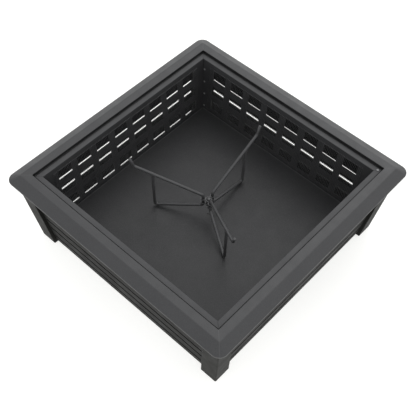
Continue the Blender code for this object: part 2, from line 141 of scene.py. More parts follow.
# Grate
ROD_RADIUS = 0.0042
HINGE_RADIUS = 0.016
GRATE_BASE_Z = FLOOR_HIGH.z + GAP
TIP = (0.219, 0.187)
TOP_BEND = (0.209, 0.160)
HUB_TOP_BEND = (HINGE_RADIUS, 0.084)
HUB_LOW_BEND = (HINGE_RADIUS, 0.041)
FOOT_BEND = (0.155, ROD_RADIUS)
LEG_HEAD_RADIUS = 0.1575
ROD_BEND_RADIUS = 0.009
ROD_BEND_STEPS = 12
ROD_SIDES = 20
WELD_RADIUS = 0.0056
WELD_RIPPLE = 0.0004
WELD_RIPPLE_SCALE = 700.0
WELD_STRETCH_X = 1.1
WELD_STRETCH_Z = 0.85
WINGS = {"left": 211.0, "back": 93.0, "right": -31.0}
TIP_CAP = ((0.0, 0.0011), (0.0020, 0.0010), (0.0026, 0.0007), (0.0026, 0.0), (0.0, 0.0))
PIN_RADIUS = 0.004
PIN_HEAD_RIM = 0.0012
PIN_CHAMFER = 0.0006

# Colours that are used beside a coat's own, and the sizes of its texture
WIRE_DARK = (0.055, 0.055, 0.056)
WIRE_LIGHT = (0.085, 0.085, 0.086)
WIRE_END = (0.30, 0.30, 0.30)
# Painted highlight: the lighter line along the rim's mitre seams
MITRE_HIGHLIGHT_COLOUR = (0.09, 0.09, 0.09)
# Painted shade: near black on the rim's inner wall and sunk shelf
POCKET_SHADE_COLOUR = (0.008, 0.008, 0.008)
# Painted shade: near black on the side of each panel that faces the bowl
PANEL_INSIDE_SHADE_COLOUR = (0.004, 0.004, 0.004)
# Painted light: the ledge on top of each bowl wall, lighter than the wall below it
LEDGE_LIGHT_COLOUR = (0.045, 0.045, 0.046)
# Painted highlight: the lighter band along the floor plate's edge
FLOOR_EDGE_HIGHLIGHT_COLOUR = (0.075, 0.075, 0.075)
FINE_GRAIN = 1500.0
MEDIUM_GRAIN = 1100.0
COARSE_GRAIN = 900.0
WELD_GRAIN = 800.0
# Painted highlight: how strongly edges are lightened, and the radius that finds them
EDGE_HIGHLIGHT = 0.35
EDGE_HIGHLIGHT_RADIUS = 0.0012
NOISE_ROUGHNESS = 0.55

# Noise textures as (scale, detail), and bumps as (distance, strength)
COAT_CLOUDS = (9.0, 4.0)
COAT_FLECKS = (620.0, 2.0)
COAT_SMEARS = (26.0, 5.0)
COAT_WAVES = (14.0, 1.0)
COAT_WAVE_BUMP = (0.0006, 0.25)
COAT_PEEL_BUMP = (0.00006, 0.5)
STEEL_CLOUDS = (300.0, 4.0)
STEEL_MARKS = (1800.0, 1.0)
WIRE_CLOUDS = (40.0, 3.0)
WIRE_GRAIN = (900.0, 2.0)
FINE_BUMP = (0.00003, 0.4)
GROUND_CLOUDS = (0.7, 2.0)

# Where a zone of another tone starts and is full, measured from the edge that it follows
POCKET_FADE = (0.0002, 0.0008)
POCKET_DROP = (0.0012, 0.0005)
MITRE_FADE = (0.0004, 0.0012)
MITRE_STRENGTH = 0.35
LEDGE_FADE = (0.0014, 0.0006)
PANEL_INSIDE_FADE = (0.0004, 0.0009)
FLOOR_BORDER_FADE = (0.0030, 0.0012)
FLOOR_BORDER_STRENGTH = 0.8
WIRE_END_FADE = (0.0022, 0.0012)

# Studio
GROUND_SIZE = 9.0
GROUND_DARK = (0.46, 0.46, 0.45)
GROUND_LIGHT = (0.50, 0.50, 0.49)
GROUND_SHADE = (0.03, 0.03, 0.03)
GROUND_GLOW = 1.5
SHADE_INNER_HALF = 0.24
SHADE_OUTER_HALF = 0.31
SKY_COLOUR = (0.97, 0.98, 1.0, 1.0)
SKY_STRENGTH = 1.0
SUN_ENERGY = 0.75
SUN_ANGLE = math.radians(55)
SUN_FROM = (-0.15, 0.7, 0.8)

# Camera, at the angle the object is seen from
CAMERA_AZIMUTH = 40.94
CAMERA_ELEVATION = 53.76
CAMERA_ROLL = 2.074
CAMERA_DISTANCE = 2.3079
CAMERA_TARGET = (-0.0337, 0.0368, 0.0366)
CAMERA_LENS_MM = 68.59
CAMERA_SENSOR_MM = 36.0


# ---------------------------------------------------------------- mesh helpers

def link(name, mesh, matrix=None):
    piece = bpy.data.objects.new(name, mesh)
    bpy.context.scene.collection.objects.link(piece)
    if matrix is not None:
        piece.matrix_world = matrix
    return piece


def mesh_from_bmesh(name, bm):
    bmesh.ops.recalc_face_normals(bm, faces=bm.faces)
    mesh = bpy.data.meshes.new(name)
    bm.to_mesh(mesh)
    bm.free()
    mesh.shade_smooth()
    return mesh


def side_matrix(turns):
    return Matrix.Rotation(math.radians(90) * turns, 4, "Z")


def soften(points, reaches, steps=4, closed=False):
    """The same chain with each corner replaced by a short curve that starts its reach away."""
    points = [Vector(point) for point in points]
    count = len(points)
    chain = []
    for index, point in enumerate(points):
        reach = reaches[index]
        at_end = not closed and index in (0, count - 1)
        if at_end or reach == 0:
            chain.append(point)
            continue
        start = point + (points[index - 1] - point).normalized() * reach
        end = point + (points[(index + 1) % count] - point).normalized() * reach
        for step in range(steps + 1):
            t = step / steps
            chain.append(start * (1 - t) ** 2 + point * 2 * t * (1 - t) + end * t ** 2)
    return chain


def offset_chain(points, distance):
    """The open 2D chain moved sideways, to the left of its direction for a positive distance."""
    moved = []
    for index, point in enumerate(points):
        before = points[max(index - 1, 0)]
        after = points[min(index + 1, len(points) - 1)]
        ahead = (after - point).normalized() if after != point else (point - before).normalized()
        behind = (point - before).normalized() if before != point else ahead
        normal_a = Vector((-behind.y, behind.x))
        normal_b = Vector((-ahead.y, ahead.x))
        mean = (normal_a + normal_b).normalized()
        moved.append(point + mean * distance / mean.dot(normal_b))
    return moved


def sheet_outline(chain, thickness):
    return list(chain) + list(reversed(offset_chain(chain, thickness)))


def prism(name, outline, place, end):
    """A solid of one closed outline: place(point, end) puts a point at the near or far end."""
    bm = bmesh.new()
    near = [bm.verts.new(place(point, -end(point))) for point in outline]
    far = [bm.verts.new(place(point, end(point))) for point in outline]
    count = len(outline)
    for index in range(count):
        after = (index + 1) % count
        bm.faces.new((near[index], near[after], far[after], far[index]))
    bm.faces.new(near)
    bm.faces.new(far)
    return mesh_from_bmesh(name, bm)


def along_x(point, x):
    return (x, point.x, point.y)


def bar_cutter(name, bars, corner, matrix):
    """Rounded bars that run along Y, each given as a centre and its size along X, Y and Z."""
    bm = bmesh.new()
    for centre, (width, depth, height) in bars:
        ring = []
        for turn in range(4):
            start = math.radians(90) * turn
            sign_x = 1 if turn in (0, 3) else -1
            sign_z = 1 if turn in (0, 1) else -1
            for step in range(5):
                angle = start + math.radians(22.5) * step
                ring.append(Vector((sign_x * (width / 2 - corner) + corner * math.cos(angle), 0.0,
                                    sign_z * (height / 2 - corner) + corner * math.sin(angle))))
        back = [bm.verts.new(centre + point - Vector((0.0, depth / 2, 0.0))) for point in ring]
        front = [bm.verts.new(centre + point + Vector((0.0, depth / 2, 0.0))) for point in ring]
        bm.faces.new(back)
        bm.faces.new(front)
        for index in range(len(ring)):
            after = (index + 1) % len(ring)
            bm.faces.new((back[index], back[after], front[after], front[index]))
    return link(name, mesh_from_bmesh(name, bm), matrix)


def cut(piece, cutter):
    modifier = piece.modifiers.new("Cut", "BOOLEAN")
    modifier.solver = "EXACT"
    modifier.object = cutter


def settle(piece, edge=0.0):
    """Softens the sharp edges, evens the shading and keeps the evaluated mesh."""
    cutters = [modifier.object for modifier in piece.modifiers if modifier.type == "BOOLEAN"]
    if edge:
        bevel = piece.modifiers.new("Edges", "BEVEL")
        bevel.width = edge
        bevel.segments = EDGE_SEGMENTS
        bevel.limit_method = "ANGLE"
        bevel.angle_limit = SHARP_ANGLE
        bevel.use_clamp_overlap = False
    piece.modifiers.new("Shading", "WEIGHTED_NORMAL").keep_sharp = True
    evaluated = piece.evaluated_get(bpy.context.evaluated_depsgraph_get())
    mesh = bpy.data.meshes.new_from_object(evaluated)
    piece.modifiers.clear()
    piece.data = mesh
    mesh.name = piece.name
    for cutter in cutters:
        bpy.data.objects.remove(cutter, do_unlink=True)
    return piece


def turned(name, profile, place, segments=40):
    """A solid of revolution from (radius, z) points, with Z along the place matrix's Z."""
    bm = bmesh.new()
    rings = []
    for radius, z in profile:
        if radius == 0:
            rings.append([bm.verts.new((0.0, 0.0, z))])
            continue
        rings.append([bm.verts.new((radius * math.cos(math.tau * step / segments),
                                    radius * math.sin(math.tau * step / segments), z))
                      for step in range(segments)])
    for ring, following in zip(rings, rings[1:]):
        for step in range(segments):
            after = (step + 1) % segments
            corners = [ring[step % len(ring)], ring[after % len(ring)],
                       following[after % len(following)], following[step % len(following)]]
            bm.faces.new(list(dict.fromkeys(corners)))
    return link(name, mesh_from_bmesh(name, bm), place)


def tube(name, route, radius, sides, place):
    """A round rod along a route in the XZ plane, with slightly domed ends."""
    across = Vector((0.0, 1.0, 0.0))
    first = (route[1] - route[0]).normalized()
    last = (route[-1] - route[-2]).normalized()
    dome = radius * 0.25
    stations = [(route[0] - first * dome, radius * 0.7), (route[0], radius)]
    stations += [(point, radius) for point in route[1:-1]]
    stations += [(route[-1], radius), (route[-1] + last * dome, radius * 0.7)]
    bm = bmesh.new()
    rings = []
    for index, (point, size) in enumerate(stations):
        before = stations[max(index - 1, 0)][0]
        after = stations[min(index + 1, len(stations) - 1)][0]
        up = (after - before).normalized().cross(across)
        rings.append([bm.verts.new(point + (across * math.cos(math.tau * step / sides)
                                            + up * math.sin(math.tau * step / sides)) * size)
                      for step in range(sides)])
    for ring, following in zip(rings, rings[1:]):
        for step in range(sides):
            after = (step + 1) % sides
            bm.faces.new((ring[step], ring[after], following[after], following[step]))
    bm.faces.new(rings[0])
    bm.faces.new(rings[-1])
    return link(name, mesh_from_bmesh(name, bm), place)


def finished(piece, body, material, slot, *nodes):
    """Gives a piece its material and body, and hides the CAD nodes it stands for; the record slot is
    not used.
    """
    piece.data.materials.clear()
    piece.data.materials.append(material)
    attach(piece, body)
    if nodes:
        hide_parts(*nodes)
    return piece


# ---------------------------------------------------------------- materials

def new_material(name):
    material = bpy.data.materials.new(name)
    material.use_nodes = True
    return material, material.node_tree, material.node_tree.nodes["Principled BSDF"]


def node(tree, kind, **settings):
    made = tree.nodes.new(kind)
    for key, value in settings.items():
        setattr(made, key, value)
    return made


def noise_node(tree, coords, scale, detail):
    made = node(tree, "ShaderNodeTexNoise")
    made.inputs["Scale"].default_value = scale
    made.inputs["Detail"].default_value = detail
    made.inputs["Roughness"].default_value = NOISE_ROUGHNESS
    tree.links.new(coords, made.inputs["Vector"])
    return made.outputs["Fac"]


def value_range(tree, source, low, high, from_low=0.3, from_high=0.7):
    """The source mapped to low..high; without its own limits it takes most of a noise texture's."""
    made = node(tree, "ShaderNodeMapRange")
    made.inputs["From Min"].default_value = from_low
    made.inputs["From Max"].default_value = from_high
    made.inputs["To Min"].default_value = low
    made.inputs["To Max"].default_value = high
    tree.links.new(source, made.inputs["Value"])
    return made.outputs["Result"]


def blend_colours(tree, factor, dark, light):
    made = node(tree, "ShaderNodeMix", data_type="RGBA")
    for index, colour in ((6, dark), (7, light)):
        if isinstance(colour, tuple):
            made.inputs[index].default_value = (*colour, 1.0)
        else:
            tree.links.new(colour, made.inputs[index])
    tree.links.new(factor, made.inputs[0])
    return made.outputs[2]


def edge_mask(tree, radius, strength):
    """1 along edges sharper than the radius, 0 on flat faces."""
    bevel = node(tree, "ShaderNodeBevel", samples=4)
    bevel.inputs["Radius"].default_value = radius
    geometry = node(tree, "ShaderNodeNewGeometry")
    dot = node(tree, "ShaderNodeVectorMath", operation="DOT_PRODUCT")
    tree.links.new(bevel.outputs["Normal"], dot.inputs[0])
    tree.links.new(geometry.outputs["Normal"], dot.inputs[1])
    return value_range(tree, dot.outputs["Value"], strength, 0.0, 0.8, 0.995)


def bump_node(tree, height, distance, strength, before=None):
    made = node(tree, "ShaderNodeBump")
    made.inputs["Distance"].default_value = distance
    made.inputs["Strength"].default_value = strength
    tree.links.new(height, made.inputs["Height"])
    if before is not None:
        tree.links.new(before, made.inputs["Normal"])
    return made.outputs["Normal"]


def coated_steel(name, dark, light, fleck_and_highlight_colour, rough, grain, zones=(), shine=0.5):
    """Powder coat or stoved paint: cloudy tone, fine grain, edges painted lighter as a highlight, and
    zones of other tones where light and shade are painted.
    """
    material, tree, shader = new_material(name)
    coords = node(tree, "ShaderNodeTexCoord").outputs["Object"]
    clouds = noise_node(tree, coords, *COAT_CLOUDS)
    fleck = noise_node(tree, coords, *COAT_FLECKS)
    tone = blend_colours(tree, value_range(tree, clouds, 0.0, 1.0), dark, light)
    flecked = blend_colours(tree, value_range(tree, fleck, 0.0, 0.3, 0.45, 0.8), tone, fleck_and_highlight_colour)
    # Painted highlight: edges lightened towards the fleck and highlight colour
    tone_with_painted_light = blend_colours(tree, edge_mask(tree, EDGE_HIGHLIGHT_RADIUS, EDGE_HIGHLIGHT), flecked, fleck_and_highlight_colour)
    shader.inputs["Specular IOR Level"].default_value = shine
    for mask, colour in zones:
        tone_with_painted_light = blend_colours(tree, mask(tree, coords), tone_with_painted_light, colour)
    tree.links.new(tone_with_painted_light, shader.inputs["Base Color"])
    smear = noise_node(tree, coords, *COAT_SMEARS)
    tree.links.new(value_range(tree, smear, rough[0], rough[1]), shader.inputs["Roughness"])
    waves = bump_node(tree, noise_node(tree, coords, *COAT_WAVES), *COAT_WAVE_BUMP)
    peel = bump_node(tree, noise_node(tree, coords, grain, 2.0), *COAT_PEEL_BUMP, waves)
    tree.links.new(peel, shader.inputs["Normal"])
    return material


def maths(tree, operation, *values):
    made = node(tree, "ShaderNodeMath", operation=operation)
    for socket, value in zip(made.inputs, values):
        if isinstance(value, float):
            socket.default_value = value
        else:
            tree.links.new(value, socket)
    return made.outputs["Value"]


def axes(tree, coords):
    split = node(tree, "ShaderNodeSeparateXYZ")
    tree.links.new(coords, split.inputs["Vector"])
    return [split.outputs[axis] for axis in "XYZ"]


def absolute(tree, value):
    return maths(tree, "ABSOLUTE", value)


def square_half(tree, coords):
    """Half the side of the square round the Z axis that passes through the point."""
    x, y, _ = axes(tree, coords)
    return maths(tree, "MAXIMUM", absolute(tree, x), absolute(tree, y))


def rim_pocket_painted_shade(tree, coords):
    """1 on the rim's short inner wall and sunk shelf, where shade is painted near black."""
    inside = value_range(tree, square_half(tree, coords), 1.0, 0.0,
                         RIM_TOP_INNER_HALF + POCKET_FADE[0], RIM_TOP_INNER_HALF + POCKET_FADE[1])
    below = value_range(tree, axes(tree, coords)[2], 1.0, 0.0,
                        RIM_TOP_Z - POCKET_DROP[0], RIM_TOP_Z - POCKET_DROP[1])
    return maths(tree, "MULTIPLY", inside, below)


def rim_mitre_seam_highlight(tree, coords):
    """A faint lighter line along the four diagonals, where the rim's sides are joined: the seam,
    painted lighter as the highlight on its crease.
    """
    x, y, _ = axes(tree, coords)
    apart = maths(tree, "SUBTRACT", absolute(tree, x), absolute(tree, y))
    return value_range(tree, absolute(tree, apart), MITRE_STRENGTH, 0.0, *MITRE_FADE)


def wall_ledge_painted_light(tree, coords):
    """1 on the ledge at the top of a bowl wall, which is painted lighter than the wall as the light
    that falls on it from above.
    """
    return value_range(tree, axes(tree, coords)[2], 0.0, 1.0,
                       LEDGE_Z - LEDGE_FADE[0], LEDGE_Z - LEDGE_FADE[1])


def panel_inside_painted_shade(tree, coords):
    """1 on the side of a panel that faces the bowl, where shade is painted near black."""
    _, y, z = axes(tree, coords)
    depth = maths(tree, "ADD", y, maths(tree, "MULTIPLY", z, SIDE_LEAN))
    face = -PANEL_OUTER_HALF
    return value_range(tree, depth, 0.0, 1.0,
                       face + PANEL_INSIDE_FADE[0], face + PANEL_INSIDE_FADE[1])


def floor_edge_painted_highlight(tree, coords):
    """1 along the floor plate's edge, which is painted lighter as a highlight."""
    return value_range(tree, square_half(tree, coords), 0.0, FLOOR_BORDER_STRENGTH,
                       FLOOR_HIGH.x - FLOOR_BORDER_FADE[0], FLOOR_HIGH.x - FLOOR_BORDER_FADE[1])


def bright_steel(name, dark, light, rough):
    """Plated or bare steel with turning marks and a cloudy finish."""
    material, tree, shader = new_material(name)
    coords = node(tree, "ShaderNodeTexCoord").outputs["Object"]
    clouds = noise_node(tree, coords, *STEEL_CLOUDS)
    tone = blend_colours(tree, value_range(tree, clouds, 0.0, 1.0), dark, light)
    tree.links.new(tone, shader.inputs["Base Color"])
    shader.inputs["Metallic"].default_value = 1.0
    tree.links.new(value_range(tree, clouds, rough[0], rough[1]), shader.inputs["Roughness"])
    marks = noise_node(tree, coords, *STEEL_MARKS)
    tree.links.new(bump_node(tree, marks, *FINE_BUMP), shader.inputs["Normal"])
    return material


def woven_wire(name, top_z):
    """Blackened wire whose cut ends along the top edge are bare."""
    material, tree, shader = new_material(name)
    coords = node(tree, "ShaderNodeTexCoord").outputs["Object"]
    clouds = noise_node(tree, coords, *WIRE_CLOUDS)
    tone = blend_colours(tree, value_range(tree, clouds, 0.0, 1.0), WIRE_DARK, WIRE_LIGHT)
    ends = value_range(tree, axes(tree, coords)[1], 0.0, 1.0,
                       top_z - WIRE_END_FADE[0], top_z - WIRE_END_FADE[1])
    tree.links.new(blend_colours(tree, ends, tone, WIRE_END), shader.inputs["Base Color"])
    tree.links.new(value_range(tree, clouds, 0.38, 0.55), shader.inputs["Roughness"])
    shader.inputs["Metallic"].default_value = 0.3
    grain = noise_node(tree, coords, *WIRE_GRAIN)
    tree.links.new(bump_node(tree, grain, *FINE_BUMP), shader.inputs["Normal"])
    return material


# ---------------------------------------------------------------- rim and outer frame

def rounded_square(half, radius, z):
    points = []
    for corner in range(4):
        start = math.radians(90) * corner
        centre = Matrix.Rotation(start, 3, "Z") @ Vector((half - radius, half - radius, z))
        for step in range(RIM_CORNER_STEPS + 1):
            angle = start + math.radians(90) * step / RIM_CORNER_STEPS
            points.append(centre + Vector((math.cos(angle), math.sin(angle), 0.0)) * radius)
    return points


def make_rim(material):
    """The section runs from the lip round to its inside: (half width, z, corner radius), bend reach."""
    under_top = RIM_TOP_Z - RIM_SHEET
    slope_run = RIM_HALF - RIM_TOP_OUTER_HALF
    slope_drop = RIM_TOP_Z - LIP_TOP_Z
    under_slope_z = under_top - slope_drop * (slope_run - RIM_SHEET) / slope_run
    wall_outer = RIM_TOP_INNER_HALF + RIM_SHEET
    shelf_under = SHELF_TOP_Z - RIM_SHEET
    inner_lip_radius = LIP_CORNER_RADIUS - RIM_SHEET
    fold = RIM_FOLD_RADIUS
    section = [
        ((RIM_HALF, LIP_LOW_Z, LIP_CORNER_RADIUS), 0.0006),
        ((RIM_HALF, LIP_TOP_Z, LIP_CORNER_RADIUS), 0.0018),
        ((RIM_TOP_OUTER_HALF, RIM_TOP_Z, RIM_TOP_CORNER_RADIUS), 0.0022),
        ((RIM_TOP_INNER_HALF, RIM_TOP_Z, fold), 0.0014),
        ((RIM_TOP_INNER_HALF, SHELF_TOP_Z, fold), 0.0008),
        ((SHELF_INNER_HALF, SHELF_TOP_Z, fold), 0.0005),
        ((SHELF_INNER_HALF, shelf_under, fold), 0.0005),
        ((wall_outer, shelf_under, fold + RIM_SHEET), 0.0012),
        ((wall_outer, under_top, fold + RIM_SHEET), 0.0008),
        ((RIM_TOP_OUTER_HALF - RIM_SHEET / 4, under_top, RIM_TOP_CORNER_RADIUS), 0.0016),
        ((RIM_HALF - RIM_SHEET, under_slope_z, inner_lip_radius), 0.0008),
        ((RIM_HALF - RIM_SHEET, LIP_LOW_Z, inner_lip_radius), 0.0006),
    ]
    chain = soften([point for point, _ in section], [reach for _, reach in section], closed=True)
    bm = bmesh.new()
    rings = [[bm.verts.new(point) for point in rounded_square(half, radius, z)]
             for half, z, radius in chain]
    for ring, following in zip(rings, rings[1:] + rings[:1]):
        for index in range(len(ring)):
            after = (index + 1) % len(ring)
            bm.faces.new((ring[index], ring[after], following[after], following[index]))
    rim = settle(link("rim_pressing", mesh_from_bmesh("rim_pressing", bm)))
    finished(rim, "pit", material, "charcoal_powder_coat", "rim_frame")


def make_legs(material):
    outer = LEG_OUTER
    inner = LEG_OUTER - LEG_FACE_WIDTH
    corners = [(inner, -outer + LEG_RETURN), (inner, -outer), (outer, -outer), (outer, -inner),
               (outer - LEG_RETURN, -inner)]
    reaches = [0.0, LEG_FOLD_REACH, LEG_BEND_REACH, LEG_FOLD_REACH, 0.0]
    outline = sheet_outline(soften(corners, reaches, 7), LEG_SHEET)
    half_height = LEG_TOP_Z / 2

    def upright(point, rise):
        z = half_height + rise
        return (point.x + SIDE_LEAN * z, point.y - SIDE_LEAN * z, z)

    for turns, name in enumerate(LEG_NAMES):
        mesh = prism(name + "_post", outline, upright, lambda point: half_height)
        post = settle(link(name + "_post", mesh, side_matrix(turns)), LEG_EDGE)
        finished(post, "pit", material, "charcoal_powder_coat", name)


def panel_face_y(z):
    """Place of the front panel's outer face at height z."""
    return -PANEL_OUTER_HALF - SIDE_LEAN * z


def panel_half_length(z):
    return PANEL_GROUND_HALF + SIDE_LEAN * z


def panel_chain():
    top = panel_face_y(PANEL_TOP_Z)
    bottom = panel_face_y(PANEL_BOTTOM_Z)
    points = [(top + PANEL_FLANGE, PANEL_TOP_Z), (top, PANEL_TOP_Z),
              (bottom, PANEL_BOTTOM_Z), (bottom + PANEL_HEM, PANEL_BOTTOM_Z)]
    return soften(points, [0.0, 0.0022, 0.0018, 0.0])


def make_side_panels(material, lip_material):
    outline = sheet_outline(panel_chain(), PANEL_SHEET)
    levels = [FIRST_SLOT_Z + SLOT_PITCH * index for index in range(SLOT_COUNT)]
    depth = PANEL_SHEET + 2 * CUT_MARGIN
    slots = [(Vector((0.0, panel_face_y(z) + PANEL_SHEET, z)),
              (2 * (panel_half_length(z) - SLOT_END_MARGIN), depth, SLOT_HEIGHT)) for z in levels]
    for turns, side in enumerate(SIDES):
        name = "vent_panel_" + side
        mesh = prism(name, outline, along_x, lambda point: panel_half_length(point.y))
        panel = link(name, mesh, side_matrix(turns))
        cut(panel, bar_cutter(name + "_slots", slots, SLOT_CORNER, side_matrix(turns)))
        settle(panel, PANEL_EDGE)
        finished(panel, "pit", material, "charcoal_powder_coat", "side_panel_" + side)
        make_slot_lips(side, turns, levels, lip_material)


def make_slot_lips(side, turns, levels, material):
    """The strip of sheet turned inwards below each vent slot."""
    bm = bmesh.new()
    for level in levels:
        edge = level - SLOT_HEIGHT / 2
        root = panel_face_y(edge) + PANEL_SHEET
        tip = root + SLOT_LIP_DEPTH
        half = panel_half_length(level) - SLOT_END_MARGIN - SLOT_CORNER
        chain = soften([(root, edge), (tip, edge), (tip, edge - LIP_TURN)], [0.0, 0.001, 0.0])
        mesh = prism("lip", sheet_outline(chain, -SLOT_LIP_SHEET), along_x, lambda point: half)
        bm.from_mesh(mesh)
        bpy.data.meshes.remove(mesh)
    name = "vent_lips_" + side
    lips = settle(link(name, mesh_from_bmesh(name, bm), side_matrix(turns)), LIP_EDGE)
    finished(lips, "pit", material, "charcoal_powder_coat")


# ---------------------------------------------------------------- bowl

def bowl_wall_half(z):
    return LEDGE_INNER_HALF - WALL_SLOPE * (LEDGE_Z - z)


def wall_matrix(turns, x, z, clearance):
    """Frame on a wall's inner face: Y runs up the wall and Z points off it into the bowl."""
    place = Matrix.Translation((x, -bowl_wall_half(z) + clearance, z))
    upright = Matrix.Rotation(math.radians(90) + math.atan(WALL_SLOPE), 4, "X")
    return side_matrix(turns) @ place @ upright @ Matrix.Rotation(math.pi, 4, "Y")


def make_bowl_walls(material):
    foot_half = bowl_wall_half(WALL_FOOT_Z)
    corners = [(-LEDGE_OUTER_HALF, LEDGE_Z), (-LEDGE_INNER_HALF, LEDGE_Z),
               (-foot_half, WALL_FOOT_Z), (-foot_half + WALL_FOOT_WIDTH, WALL_FOOT_Z)]
    outline = sheet_outline(soften(corners, [0.0, 0.0022, 0.0016, 0.0], 6), -BOWL_SHEET)
    depth = BOWL_SHEET + 2 * (CUT_MARGIN + WALL_SLOPE * WINDOW_SIZE[1])
    size = (WINDOW_SIZE[0], depth, WINDOW_SIZE[1])
    columns = [(column - (WINDOW_COLUMNS - 1) / 2) * WINDOW_PITCH for column in range(WINDOW_COLUMNS)]
    windows = [(Vector((x, -bowl_wall_half(z), z)), size) for z in WINDOW_ROWS_Z for x in columns]
    for turns, side in enumerate(SIDES):
        name = "windowed_wall_" + side
        mesh = prism(name, outline, along_x, lambda point: -point.x - GAP)
        wall = link(name, mesh, side_matrix(turns))
        cut(wall, bar_cutter(name + "_windows", windows, WINDOW_CORNER, side_matrix(turns)))
        settle(wall, WALL_EDGE)
        finished(wall, "pit", material, "matt_bowl_coat", "bowl_wall_" + side)


def wire_rows(count, other_count, length, phase):
    """Centre lines of parallel wires that pass over and under the wires across them."""
    rows = []
    for index in range(count):
        across = (index - (count - 1) / 2) * WIRE_PITCH
        row = [(-length / 2, across, 0.0)]
        for crossing in range(other_count):
            along = (crossing - (other_count - 1) / 2) * WIRE_PITCH
            lift = WIRE_RADIUS * (1 if (index + crossing + phase) % 2 else -1)
            row.append((along, across, lift))
        row.append((length / 2, across, 0.0))
        rows.append(row)
    return rows


def make_screens(material, width, height):
    """One woven panel of round wire, shared by the four walls."""
    upright_count = int(width / WIRE_PITCH)
    level_count = int(height / WIRE_PITCH)
    level = wire_rows(level_count, upright_count, width, 0)
    upright = [[(y, x, z) for x, y, z in row]
               for row in wire_rows(upright_count, level_count, height, 1)]
    verts = []
    faces = []
    for row, sideways in [(row, 1) for row in level] + [(row, 0) for row in upright]:
        first = len(verts)
        for x, y, z in row:
            for turn in range(4):
                angle = math.radians(45 + 90 * turn)
                shift = WIRE_SECTION_REACH * math.cos(angle)
                rise = WIRE_SECTION_REACH * math.sin(angle)
                verts.append((x, y + shift, z + rise) if sideways else (x + shift, y, z + rise))
        for ring in range(len(row) - 1):
            for turn in range(4):
                a = first + ring * 4 + turn
                b = first + ring * 4 + (turn + 1) % 4
                faces.append((a, b, b + 4, a + 4) if sideways else (a, a + 4, b + 4, b))
        last = first + 4 * (len(row) - 1)
        ends = [tuple(first + turn for turn in range(4)), tuple(last + turn for turn in range(4))]
        faces.append(tuple(reversed(ends[0])) if sideways else ends[0])
        faces.append(ends[1] if sideways else tuple(reversed(ends[1])))
    mesh = bpy.data.meshes.new("woven_screen")
    mesh.from_pydata(verts, [], faces)
    mesh.shade_smooth()
    middle = (SCREEN_LOW.z + SCREEN_HIGH.z) / 2
    clearance = GAP + WIRE_RADIUS * 2
    for turns, side in enumerate(SIDES):
        screen = link("woven_screen_" + side, mesh, wall_matrix(turns, 0.0, middle, clearance))
        finished(screen, "pit", material, "blackened_wire", "screen_" + side)


def make_floor(material):
    half = FLOOR_HIGH.x
    bm = bmesh.new()
    height = FLOOR_HIGH.z - FLOOR_LOW.z
    middle = (FLOOR_HIGH.z + FLOOR_LOW.z) / 2
    stretch = Matrix.Diagonal((2 * half, 2 * half, height, 1.0))
    bmesh.ops.create_cube(bm, size=1.0, matrix=Matrix.Translation((0.0, 0.0, middle)) @ stretch)
    floor = link("bowl_floor_plate", mesh_from_bmesh("bowl_floor_plate", bm))
    drill = bmesh.new()
    bmesh.ops.create_cone(drill, cap_ends=True, segments=48, radius1=DRAIN_RADIUS,
                          radius2=DRAIN_RADIUS, depth=4 * height,
                          matrix=Matrix.Translation((0.0, 0.0, middle)))
    cut(floor, link("drain_drill", mesh_from_bmesh("drain_drill", drill)))
    settle(floor, FLOOR_EDGE)
    finished(floor, "pit", material, "bowl_floor_coat", "bowl_floor")


def dome_profile(radius, height, rim):
    """(radius, z) from the top of a domed head down to its flat underside."""
    profile = [(0.0, height)]
    for step in range(1, DOME_STEPS):
        angle = math.radians(90) * (1 - step / (DOME_STEPS - 1))
        profile.append((radius * math.cos(angle), rim + (height - rim) * math.sin(angle)))
    return profile + [(radius * 0.96, 0.0), (0.0, 0.0)]


def make_fixings(material):
    for turns, side in enumerate(SIDES):
        for row in range(1, RIVET_ROWS + 1):
            node_name = "seam_rivet_%s_%d" % (side, row)
            low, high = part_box(node_name)
            centre = side_matrix(turns).inverted() @ ((low + high) / 2)
            place = wall_matrix(turns, centre.x, centre.z, GAP)
            rivet = turned("rivet_head_%s_%d" % (side, row),
                           dome_profile(*RIVET_HEAD), place, 28)
            finished(rivet, "pit", material, "fixing_steel", node_name)
    low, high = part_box("ledge_screw_back_right")
    place = Matrix.Translation(((low.x + high.x) / 2, (low.y + high.y) / 2, low.z))
    screw = turned("ledge_screw_head", dome_profile(*SCREW_HEAD), place, 32)
    finished(screw, "pit", material, "fixing_steel", "ledge_screw_back_right")


# ---------------------------------------------------------------- grate

def rounded_route(corners, radius):
    """The polyline through the corners with each inner corner replaced by an arc."""
    route = [Vector(corners[0])]
    for before, corner, after in zip(corners, corners[1:], corners[2:]):
        corner = Vector(corner)
        back = (Vector(before) - corner).normalized()
        ahead = (Vector(after) - corner).normalized()
        half_angle = back.angle(ahead) / 2
        centre = corner + (back + ahead).normalized() * radius / math.sin(half_angle)
        reach = radius / math.tan(half_angle)
        start = (corner + back * reach - centre).normalized()
        end = (corner + ahead * reach - centre).normalized()
        for step in range(ROD_BEND_STEPS + 1):
            route.append(centre + start.slerp(end, step / ROD_BEND_STEPS) * radius)
    route.append(Vector(corners[-1]))
    return route


def top_rod_z(radius):
    rise = (TOP_BEND[1] - HUB_TOP_BEND[1]) / (TOP_BEND[0] - HUB_TOP_BEND[0])
    return HUB_TOP_BEND[1] + rise * (radius - HUB_TOP_BEND[0])


def weld_bead(name, place):
    """A lumpy fillet of weld metal round the leg's head, under the top rod."""
    bm = bmesh.new()
    bmesh.ops.create_icosphere(bm, subdivisions=4, radius=WELD_RADIUS)
    for vertex in bm.verts:
        ripple = noise.noise(vertex.co * WELD_RIPPLE_SCALE) * WELD_RIPPLE
        vertex.co += vertex.co.normalized() * ripple
        vertex.co.x *= WELD_STRETCH_X
        vertex.co.z *= WELD_STRETCH_Z
    return link(name, mesh_from_bmesh(name, bm), place)


